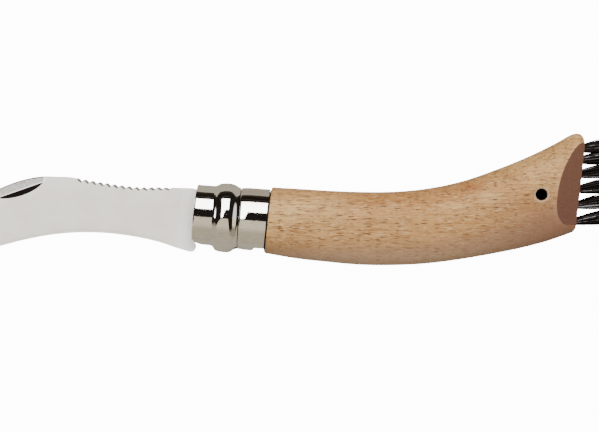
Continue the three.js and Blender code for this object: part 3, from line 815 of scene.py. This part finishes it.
def make_tuft(number, place, pattern, material, chance):
    """A tuft of bristles, close at the handle and fanning out, each a little wavy."""
    bm = bmesh.new()
    root = HOLE_DEPTH - ROOT_GAP
    curl = math.tan(lerp(STRAND_CURL, STRAND_CURL_LOW, (TUFT_TOP - place.y) / TUFT_SPAN))
    for index in range(STRANDS):
        turn = index * math.pi * (3 - math.sqrt(5))
        reach = math.sqrt((index + 0.5) / STRANDS) * (TUFT_RADIUS - STRAND_RADIUS)
        offset = Vector((math.cos(turn), math.sin(turn))) * reach
        length = STRAND_LENGTH * chance.uniform(STRAND_TRIM_SHARE, 1)
        flare = STRAND_SPREAD * chance.uniform(*STRAND_SPREAD_SHARES)
        drift = Vector([chance.uniform(-STRAND_DRIFT, STRAND_DRIFT) for _ in range(2)])
        wave = chance.uniform(-STRAND_WAVE, STRAND_WAVE)
        phase = chance.uniform(0, 2 * math.pi)
        tone = (index * math.sqrt(2) + number * TUFT_TONE_STEP) % 1
        start = len(bm.verts)
        bm.from_mesh(pattern)
        bm.verts.ensure_lookup_table()
        shade = bm.verts.layers.float["shade"]
        for vert in bm.verts[start:]:
            vert[shade] = tone
            share = vert.co.x
            x = lerp(-root, length, share)
            out = max(x, 0) / STRAND_LENGTH
            spread = 1 + flare * (1 - math.exp(-max(x, 0) / STRAND_BEND))
            lift = math.tan(STRAND_LIFT) * x + curl * max(x, 0)
            y = offset.x * spread + out * drift.x + wave * out * math.sin(STRAND_RIPPLE * out + phase)
            z = offset.y * spread + out * drift.y + out * COLUMN_SPREAD * place.z
            y += STRAND_RADIUS * vert.co.y
            z += STRAND_RADIUS * vert.co.z
            vert.co = place + Vector((x, y + lift, z))
    tuft = finished(bm, f"bristle_tuft_{number:02d}", material)
    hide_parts(f"brush_bristles_{(number - 1) // 4 + 1}")


def make_brush(material):
    chance = random.Random(BRUSH_SEED)
    pattern = strand_pattern()
    for number, place in enumerate(tuft_places(), 1):
        make_tuft(number, place, pattern, material, chance)
    bpy.data.meshes.remove(pattern)


# Materials


class Wire:
    """A socket of a node tree that can be reckoned with. Each sum adds its Math node."""

    def __init__(self, tree, socket):
        self.tree = tree
        self.socket = socket

    def math(self, operation, *others):
        return node(self.tree, "Math", {"operation": operation}, self, *others)

    def __add__(self, other):
        return self.math("ADD", other)

    def __sub__(self, other):
        return self.math("SUBTRACT", other)

    def __rsub__(self, other):
        return node(self.tree, "Math", {"operation": "SUBTRACT"}, other, self)

    def __mul__(self, other):
        return self.math("MULTIPLY", other)

    def __truediv__(self, other):
        return self.math("DIVIDE", other)

    def __abs__(self):
        return self.math("ABSOLUTE")

    __radd__ = __add__

    def __neg__(self):
        return self * -1

    def within(self, low, high):
        """0 below low, 1 above high and smooth between."""
        settings = {"interpolation_type": "SMOOTHSTEP"}
        return node(self.tree, "MapRange", settings, self, low, high, 0.0, 1.0)

    def band(self, low, high, soft):
        """1 between low and high and 0 outside, with soft edges."""
        return self.within(low - soft, low + soft) - self.within(high - soft, high + soft)

    def part(self, output):
        """Another output of the same node."""
        return Wire(self.tree, self.socket.node.outputs[output])


def node(tree, kind, settings=None, *inputs, output=0, **named):
    """Add a node: its settings first, then the values or wires of its sockets."""
    made = tree.nodes.new("ShaderNode" + kind)
    for name, value in (settings or {}).items():
        setattr(made, name, value)
    pairs = list(enumerate(inputs)) + [(name.replace("_", " "), value) for name, value in named.items()]
    for key, value in pairs:
        if isinstance(value, Wire):
            tree.links.new(value.socket, made.inputs[key])
        else:
            made.inputs[key].default_value = value
    return Wire(tree, made.outputs[output])


def colour_mix(tree, share, a, b):
    """Two colours mixed by a share, each a wire or three numbers."""
    made = tree.nodes.new("ShaderNodeMix")
    made.data_type = "RGBA"
    for socket, value in zip((made.inputs[0], made.inputs[6], made.inputs[7]), (share, a, b)):
        if isinstance(value, Wire):
            tree.links.new(value.socket, socket)
        else:
            socket.default_value = (*value, 1)
    return Wire(tree, made.outputs[2])


def layered(tree, ground, *layers):
    """A ground tone with other tones laid over it in turn, each by its share."""
    for share, tone in layers:
        ground = colour_mix(tree, share, ground, tone)
    return ground


def new_material(name, **constants):
    """A material with its surface shader, and the constants that are the same all over it."""
    material = bpy.data.materials.new(name)
    material.use_nodes = True
    tree = material.node_tree
    shader = tree.nodes["Principled BSDF"]
    for socket, value in constants.items():
        shader.inputs[socket.replace("_", " ")].default_value = value
    return material, tree, shader


def feed(tree, shader, **wires):
    for socket, wire in wires.items():
        tree.links.new(wire.socket, shader.inputs[socket.replace("_", " ")])


def vector_math(tree, operation, a, b, output=0):
    return node(tree, "VectorMath", {"operation": operation}, a, b, output=output)


def distance(tree, place, middle):
    return vector_math(tree, "DISTANCE", place, middle, output=1)


def coordinates(tree, stretch=(1, 1, 1)):
    """Places on the object in millimetres, measured from the collar and stretched."""
    moved = vector_math(tree, "SUBTRACT", node(tree, "TexCoord", output=3), tuple(COLLAR))
    return vector_math(tree, "MULTIPLY", moved, tuple(size / MM for size in stretch))


def wood_place(tree, stretch):
    """Places in the wood in millimetres, turned so that x follows the grain, and stretched."""
    turned = node(tree, "VectorRotate", {"rotation_type": "Z_AXIS"}, coordinates(tree), Angle=-GRAIN_TURN)
    return vector_math(tree, "MULTIPLY", turned, stretch)


def axes(tree, vector):
    """The three parts of a vector."""
    parts = node(tree, "SeparateXYZ", None, vector)
    return parts, parts.part(1), parts.part(2)


def noise(tree, stretch, detail=3.0, roughness=0.55, place=coordinates):
    """A cloudy pattern from 0 to 1, with so many clouds a millimetre along each axis."""
    return node(tree, "TexNoise", None, Vector=place(tree, stretch), Scale=1.0, Detail=detail,
                Roughness=roughness)


def wood_noise(tree, stretch, detail=3.0, roughness=0.55):
    return noise(tree, stretch, detail, roughness, wood_place)


def wood_flecks(tree):
    """Short dark flecks along the grain, in three sizes."""
    marks = []
    for number, (long, wide, rare) in enumerate(FLECKS):
        cells = wood_place(tree, (1 / long, 1 / wide, 1 / wide))
        shifted = vector_math(tree, "ADD", cells, tuple(number * shift for shift in FLECK_SHIFT))
        cell = node(tree, "TexVoronoi", {"feature": "F1"}, Vector=shifted, Scale=1.0, Randomness=1.0)
        chance = axes(tree, cell.part("Color"))[0]
        marks.append((1 - cell.within(0.18, 0.32)) * chance.within(rare, rare + 0.12))
    return marks[0].math("MAXIMUM", marks[1]).math("MAXIMUM", marks[2])


def beech():
    """Varnished beech: bands that follow the bend, paler above and darker towards the belly partly as
    painted light and shade, soft patches, fine fibres and short dark flecks.
    """
    material, tree, shader = new_material("varnished_beech", IOR=1.5, Specular_IOR_Level=0.24,
                                          Coat_Roughness=0.3)
    x, y, z = axes(tree, coordinates(tree))
    along_grain, across_grain = axes(tree, wood_place(tree, (1, 1, 1)))[:2]
    broad = wood_noise(tree, (0.021, 0.138, 0.138), 4.0)
    patches = wood_noise(tree, (0.038, 0.083, 0.083), 3.0)
    fibres = wood_noise(tree, (0.12, 1.5, 1.5), 5.0, 0.65)
    hair = wood_noise(tree, (0.28, 5.0, 5.0), 3.0, 0.6)
    scratches = wood_noise(tree, (0.45, 3.2, 3.2), 3.0, 0.6)
    pores = wood_noise(tree, (2.0, 2.6, 2.6), 4.0, 0.7)
    flecks = wood_flecks(tree)

    # The wood from its back, 0, to its belly, 1, and what changes towards the brush
    bend = (along_grain - FIGURE_BEND).math("MAXIMUM", 0.0)
    bend = bend * bend
    down = (bend * FIGURE_RISE + FIGURE_LEVEL - across_grain) / (bend * FIGURE_SPREAD + FIGURE_DEPTH)
    low = down.within(0.56, 0.86)
    toward_end = x.within(0.0, 110.0)
    warm_back = x.band(34.0, 82.0, 12.0) * (across_grain * 0.04 + 0.5)
    # A paler band on the upper side, where the light falls: partly the wood's figure, partly a painted lit
    # band.
    light_band = down.band(0.20, 0.42, 0.08) * broad.within(0.38, 0.58)
    pale = (0.480, 0.280, 0.101)
    honey = (0.390, 0.212, 0.071)
    orange = (0.318, 0.138, 0.036)
    tone = layered(
        tree, pale,
        (broad.within(0.42, 0.59), honey),
        (patches.within(0.54, 0.66) * 0.5, orange),
        (warm_back, orange),
        (light_band * (0.3 - toward_end * 0.2), (0.560, 0.375, 0.165)),
        # Darker below the middle: partly the wood's tone, partly painted shade.
        (down.within(0.32, 0.6) * (0.34 + toward_end * 0.36), (0.315, 0.150, 0.049)),
    )
    for place_along, place_across, long, wide, patch_tone, share in WOOD_FIGURE:
        middle = (place_along / long, place_across / wide, 0)
        away = distance(tree, wood_place(tree, (1 / long, 1 / wide, 0)), middle)
        inside = 1 - (away + patches * 1.6 - 0.8).within(0.35, 1.25)
        tone = colour_mix(tree, inside * share, tone, patch_tone)
    tone = layered(
        tree, tone,
        # Darker and pinker towards the belly: partly the wood's tone, partly painted shade.
        (low * (0.34 + toward_end * 0.46), (0.228, 0.135, 0.083)),
        # A pale grey rim along the belly's edge: a painted reflection of the floor in the varnish.
        (down.within(0.72, 0.98) * (0.56 - toward_end * 0.42), (0.42, 0.30, 0.21)),
        (fibres.within(0.48, 0.62) * (0.68 - low * 0.34), (0.212, 0.094, 0.030)),
        (hair.within(0.54, 0.65) * (0.72 - low * 0.36), (0.185, 0.080, 0.028)),
        (scratches.within(0.55, 0.66) * (0.66 - low * 0.36), (0.560, 0.395, 0.200)),
        (flecks * (1 - low * 0.5), (0.079, 0.028, 0.008)),
    )

    # The slanting cuts beside the brush show end grain, with a painted highlight along the arris and a
    # darker corner below
    beyond = abs(z) - FACE_HALF + (x - (y - FACET_LEVEL) * FACET_TILT - GRIP_END) * FACET_SLOPE
    above_foot = y.within(FACET_FOOT - 0.12, FACET_FOOT + 0.12)
    end_grain = beyond.within(-0.16, -0.04) * (0.5 + above_foot * 0.5)
    # A painted highlight along the arris of each slanting cut.
    arris_highlight = beyond.band(-0.62, -0.12, 0.12) * above_foot
    corner = x.within(70.0, 108.0) * (1 - across_grain.within(-4.0, 14.0))
    end_tone = colour_mix(tree, pores.within(0.35, 0.7), (0.101, 0.042, 0.027), (0.079, 0.032, 0.021))

    # No light reaches the recess behind the collar or the cord hole, whose mouth is paler
    leaning = x - (y - BAND_LEVEL) * BAND_LEAN
    recess = leaning.within(BAND_FRONT, BAND_FRONT + 1) - leaning.within(SHOULDER + 0.02, SHOULDER + 0.1)
    from_cord = distance(tree, coordinates(tree, (1, 1, 0)), tuple(LANYARD))
    bore = 1 - from_cord.within(LANYARD_RADIUS + 0.02, LANYARD_RADIUS + 0.12)
    mouth = from_cord.band(LANYARD_RADIUS + 0.1, LANYARD_RADIUS + LANYARD_RIM + 0.12, 0.06)
    tone = layered(
        tree, tone,
        (arris_highlight * 0.2, (0.455, 0.297, 0.162)),
        (corner * 0.8, (0.165, 0.072, 0.038)),
        (end_grain * 0.95, end_tone),
        (mouth * 0.5, (0.511, 0.386, 0.255)),
        (recess.math("MAXIMUM", bore), (0.004, 0.003, 0.002)),
    )
    relief = hair * 0.35 + fibres * 0.4 - flecks * 0.8
    feed(tree, shader, Base_Color=tone, Roughness=0.46 + fibres * 0.14 + end_grain * 0.2,
         Coat_Weight=0.05 - end_grain * 0.04,
         Normal=node(tree, "Bump", None, Strength=0.22, Distance=0.00012, Height=relief))
    return material


def polished_steel():
    """Polished stainless steel: a near mirror with faint turning marks and handling smears."""
    material, tree, shader = new_material("polished_steel", Metallic=1.0)
    x, y = axes(tree, coordinates(tree))[:2]
    smears = noise(tree, (0.25, 0.3, 0.3), 4.0)
    lines = noise(tree, (5.0, 0.25, 0.25), 3.0)
    scuffs = noise(tree, (0.5, 2.4, 2.4), 4.0, 0.7)
    # The band's upper side is darkened: a painted darker reflection.
    upper = x.within(RING_REAR, BAND_FRONT) * y.within(3.0, 6.0)
    tone = layered(
        tree, (0.80, 0.79, 0.775),
        (smears.within(0.35, 0.7), (0.74, 0.73, 0.71)),
        (scuffs.within(0.5, 0.72) * 0.5, (0.53, 0.50, 0.465)),
        (upper * 0.6, (0.53, 0.49, 0.455)),
    )
    feed(tree, shader, Base_Color=tone, Roughness=0.035 + smears.within(0.4, 0.8) * 0.04 + lines * 0.02,
         Normal=node(tree, "Bump", None, Strength=0.05, Distance=0.00004, Height=lines))
    return material


def thumb_groove(tree, x, y, z):
    """Where the thumbnail groove's hollow and low rim are, painted as shade, the hatched face above it, and
    a painted highlight along the groove's top and front.
    """
    above = y - (x - NICK_START) * NICK_SLOPE - nick_top()
    behind_start = 1 - x.within(NICK_START - 0.1, NICK_START + 0.1)
    lens = above.within(0.1, 0.3) * behind_start
    # A painted highlight along the groove's straight top and in a strip at its front end.
    brow_highlight = above.band(0.12, 0.42, 0.06) * behind_start
    front = x.band(NICK_START + 0.1, NICK_START + 0.65, 0.1) * above.within(-0.5, 0.0)
    # The groove's hollow is painted near black as shade; its low rim is painted browner.
    hollow = (-above).within(-0.05, 0.0) * (BLADE_HALF - 0.02 - z).within(0.02, 0.1) * z.within(0.0, 0.1)
    hollow = hollow * behind_start * (NICK_WIDTH + 0.6 + above).within(0.0, 0.1)
    hollow = hollow * x.within(NICK_START - NICK_LENGTH - 0.1, NICK_START - NICK_LENGTH)
    rim = hollow * (1 - (above + NICK_WIDTH + 0.4).within(0.0, 0.5))
    return hollow, rim, lens, brow_highlight.math("MAXIMUM", front)


def satin_steel():
    """Ground stainless steel: a soft sheen, fine lines across the blade and hatching over the groove."""
    material, tree, shader = new_material("satin_steel")
    x, y, z = axes(tree, coordinates(tree))
    lines = noise(tree, (6.0, 0.35, 0.35), 4.0, 0.6)
    cloud = noise(tree, (0.11, 0.16, 0.16), 3.0)
    hatching = noise(tree, (1.1, 5.0, 1.0), 3.0, 0.6)
    heel = x.within(GRIND_START - 2.2, GRIND_START - 1.8)
    ground = (1 - x.within(GRIND_START - GRIND_RUNOUT, GRIND_START)) * (1 - y.within(-3.0, 0.0))
    edge_line = abs(z).band(0.262, 0.30, 0.01) * 0.15 + (1 - abs(z).within(0.10, 0.20)) * 0.85
    # Painted shade down in the scallops and in the file's slanted marks.
    notch_shade = (1 - abs(z).within(BLADE_HALF - 0.09, BLADE_HALF - 0.03)) * y.within(4.5, 5.5)
    notch_shade = notch_shade * x.within(NOTCHES_END - 0.5 * NOTCH_PITCH, NOTCHES_END)
    notch_shade = notch_shade * (1 - x.within(NOTCH_START, NOTCH_START + 1))
    hollow, rim, lens, brow_highlight = thumb_groove(tree, x, y, z)
    # The back chamfer over the groove is painted near black as shade.
    chamfer = lens * (1 - abs(z).within(BLADE_HALF - 0.12, BLADE_HALF - 0.03))
    tone = layered(
        tree, (0.80, 0.795, 0.70),
        (cloud.within(0.42, 0.62), (0.80, 0.735, 0.665)),
        (lines.within(0.45, 0.75) * 0.25, (0.70, 0.69, 0.62)),
        (heel * 0.8, (0.84, 0.84, 0.80)),
        (edge_line * ground, (0.30, 0.29, 0.275)),
        (notch_shade * 0.92, (0.07, 0.068, 0.062)),
        (lens * (0.4 + hatching.within(0.4, 0.6) * 0.6), (0.32, 0.315, 0.30)),
        (chamfer * 0.95, (0.06, 0.06, 0.055)),
        (brow_highlight * 0.85, (1.0, 1.0, 0.97)),
        (hollow, (0.006, 0.004, 0.004)),
        (rim * 0.6, (0.2, 0.12, 0.1)),
    )
    feed(tree, shader, Base_Color=tone, Metallic=BLADE_GLOSS + cloud * 0.02 + hollow * 0.8,
         Roughness=0.33 + cloud * 0.1 + lines * 0.06,
         Normal=node(tree, "Bump", None, Strength=0.10, Distance=0.00004, Height=lines))
    return material


def wire_steel():
    material, tree, shader = new_material("drawn_wire", Metallic=1.0)
    wear = noise(tree, (1.2, 1.2, 1.2))
    feed(tree, shader, Base_Color=colour_mix(tree, wear, (0.55, 0.54, 0.52), (0.42, 0.41, 0.39)),
         Roughness=0.3 + wear * 0.2)
    return material


def dark_bristle():
    """Stiff bristles, nearly black and varying in tone from strand to strand, with painted glints as grey
    streaks on a few strands.
    """
    material, tree, shader = new_material("dark_bristle", IOR=1.5, Specular_IOR_Level=0.12)
    shade = node(tree, "Attribute", {"attribute_name": "shade"}, output=2)
    streak = noise(tree, (0.35, 1.6, 1.6), 2.0, 0.5)
    tone = layered(
        tree, (0.0002, 0.00015, 0.00015),
        (shade.within(0.3, 0.95), (0.034, 0.025, 0.023)),
        # Grey streaks on a few strands: painted glints.
        (shade.within(0.84, 0.88) * streak.within(0.38, 0.56), (0.30, 0.295, 0.30)),
    )
    feed(tree, shader, Base_Color=tone, Roughness=0.22 + streak * 0.12)
    return material


# The stage


def make_floor():
    """A pale floor that the camera sees as white. It has painted shade under the cord hole, and it is dark
    far behind.
    """
    bm = bmesh.new()
    bmesh.ops.create_grid(bm, x_segments=1, y_segments=1, size=FLOOR_HALF)
    floor = placed("floor", mesh_of(bm, "floor"))
    material, tree, shader = new_material("pale_floor", Roughness=1.0, Specular_IOR_Level=0.0,
                                          Emission_Strength=FLOOR_GLOW)
    seen = node(tree, "LightPath")
    # Painted shade on the floor under the cord hole, seen through it: dark, and with no glow for the camera.
    under_hole = 1 - distance(tree, coordinates(tree, (1, 1, 0)), tuple(LANYARD)).within(3.0, 6.0)
    far_behind = axes(tree, coordinates(tree))[1].within(90.0, 110.0)
    dark = under_hole.math("MAXIMUM", far_behind)
    feed(tree, shader, Base_Color=colour_mix(tree, dark, (0.303, 0.274, 0.218), (0.02, 0.015, 0.012)),
         Emission_Color=colour_mix(tree, seen * (1 - under_hole), (0, 0, 0), (1, 1, 1)))
    floor.data.materials.append(material)


def make_world():
    """A studio with an even soft light, and panels round it that only gloss reflects."""
    world = bpy.data.worlds.new("studio")
    bpy.context.scene.world = world
    world.use_nodes = True
    tree = world.node_tree
    x, y, z = axes(tree, node(tree, "TexCoord"))

    # Directions: x along the knife, and an angle round it in degrees, from straight up to the back
    angle = y.math("ARCTAN2", z) * (180 / math.pi)
    fading = (angle + 2.0).math("MINIMUM", 0.0) * 0.012
    left = fading - x
    right = fading * 0.5 + x
    low_side = 1 - angle.within(-4.0, -1.0)
    low_glow = low_side * (1.05 - (-angle).within(22.0, 54.0) * 0.42)
    cut_corner = left.within(0.05, 0.19) * 27.0
    panel = (angle + cut_corner).within(26.8, 29.2) - angle.within(65.8, 68.2)
    shelf = angle.band(74.0, 79.0, 1.5) * 0.06
    dark_left = left.within(0.27, 0.32) * (angle.within(-44.0, -24.0) * 0.6 + 0.4)
    dark_right = right.within(0.13, 0.18) * (angle.within(-60.0, -36.0) * 0.7 + 0.3)
    left_streak = left.within(0.85, 0.90) * angle.within(-40.0, -5.0) * 7.0
    right_streak = x.within(0.70, 0.76) * angle.within(-56.0, -26.0) * 1.4
    light = low_glow + panel * (1 - low_side) * 11.0 + shelf
    light = light * (1 - dark_left.math("MAXIMUM", dark_right)) + (left_streak + right_streak)
    light = light.math("MAXIMUM", 0.018)

    glossy = node(tree, "LightPath").part("Is Glossy Ray")
    even = 1.45 + y * 0.62
    strength = even * (1 - glossy) + light * glossy
    tint = layered(
        tree, (1, 0.985, 0.96),
        (low_side * glossy, (1, 0.86, 0.63)),
        ((1 - light.within(0.02, 0.2)) * glossy, (1, 0.72, 0.6)),
    )
    background = tree.nodes["Background"]
    tree.links.new(tint.socket, background.inputs["Color"])
    tree.links.new(strength.socket, background.inputs["Strength"])


def make_key_panel():
    """A soft square panel above the blade's back, which the steel doesn't mirror."""
    lamp = bpy.data.lights.new("key_panel", "AREA")
    lamp.shape = "RECTANGLE"
    lamp.size = KEY_SIZE
    lamp.size_y = KEY_SIZE
    lamp.energy = KEY_WATTS
    light = placed("key_panel", lamp)
    light.location = KEY_PLACE
    light.rotation_euler = (KEY_TARGET - KEY_PLACE).to_track_quat("-Z", "Y").to_euler()
    light.visible_glossy = False


def make_camera():
    """Straight above the knife, an arm's length away, turned as in the photograph."""
    lens = bpy.data.cameras.new("camera")
    lens.sensor_width = CAMERA_SENSOR
    lens.lens = CAMERA_LENS
    camera = placed("camera", lens)
    camera.location = CAMERA_AIM + Vector((0, 0, CAMERA_HEIGHT))
    camera.rotation_euler = (0, 0, CAMERA_TURN)
    bpy.context.scene.camera = camera


make_camera()
make_floor()
make_world()
make_key_panel()

steel = polished_steel()
wire = wire_steel()
make_handle(beech())
make_lock_ring(steel)
make_fixed_collar(steel)
make_blade(satin_steel())
make_brush(dark_bristle())
for name, cad_node in frame["nodes"].items():
    if name == "pivot_rivet" or name.startswith("tuft_staple"):
        cad_node.data.materials.clear()
        cad_node.data.materials.append(steel if name == "pivot_rivet" else wire)
